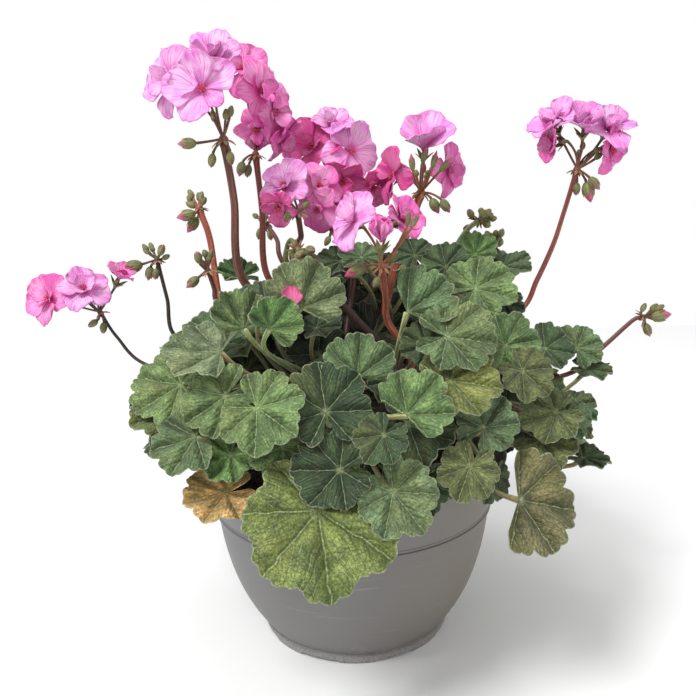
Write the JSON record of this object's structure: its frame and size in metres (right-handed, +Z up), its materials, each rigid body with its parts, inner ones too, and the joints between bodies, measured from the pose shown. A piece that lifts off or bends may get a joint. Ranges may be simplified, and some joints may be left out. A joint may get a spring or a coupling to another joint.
{
  "type": "potted geranium",
  "caption": "Zonal geranium with a dome of round lobed leaves and pink five-petal flowers on tall stalks, in a grey bowl pot.",
  "frame": {"origin": "middle of the pot's foot, on the surface that it stands on; the plant spreads evenly round it", "axes": "+Z up along the pot's axis; -Y toward the viewer of the picture; +X to the viewer's right"},
  "size_m": [0.4677, 0.3754, 0.4296],
  "materials": {
    "pot": "matte grey moulded plastic, slightly scuffed",
    "soil": "damp dark potting mix of bark and peat",
    "leaf": "soft, finely haired grey-green leaf with a darker zone",
    "stalk": "finely haired red-brown stalk",
    "bud": "finely haired green pedicels, sepals and buds",
    "petal": "thin satin pink petals with darker veins"
  },
  "bodies": {
    "root": {"pot": "pot", "soil": "soil", "stalk_a": "stalk", "head_a": "bud", "bloom_a_1": "petal", "stalk_b": "stalk", "head_b": "bud", "bloom_b_1": "petal", "bloom_b_2": "petal", "stalk_c": "stalk", "head_c": "bud", "bloom_c_1": "petal", "stalk_d": "stalk", "head_d": "bud", "bloom_d_1": "petal", "bloom_d_2": "petal", "stalk_q": "stalk", "head_q": "bud", "bloom_q_1": "petal", "stalk_e": "stalk", "head_e": "bud", "bloom_e_1": "petal", "bloom_e_2": "petal", "stalk_f": "stalk", "head_f": "bud", "bloom_f_1": "petal", "bloom_f_2": "petal", "bloom_f_3": "petal", "stalk_g": "stalk", "head_g": "bud", "stalk_h": "stalk", "head_h": "bud", "stalk_i": "stalk", "head_i": "bud", "bloom_i_1": "petal", "stalk_j": "stalk", "head_j": "bud", "stalk_k": "stalk", "head_k": "bud", "bloom_k_1": "petal", "bloom_k_2": "petal", "stalk_l": "stalk", "head_l": "bud", "stalk_m": "stalk", "head_m": "bud", "stalk_n": "stalk", "head_n": "bud", "stalk_o": "stalk", "head_o": "bud", "stalk_p": "stalk", "head_p": "bud", "shoot_1": "leaf", "shoot_2": "leaf", "shoot_3": "leaf", "shoot_4": "leaf", "shoot_5": "leaf", "shoot_6": "leaf", "shoot_7": "leaf"}
  },
  "joints": []
}
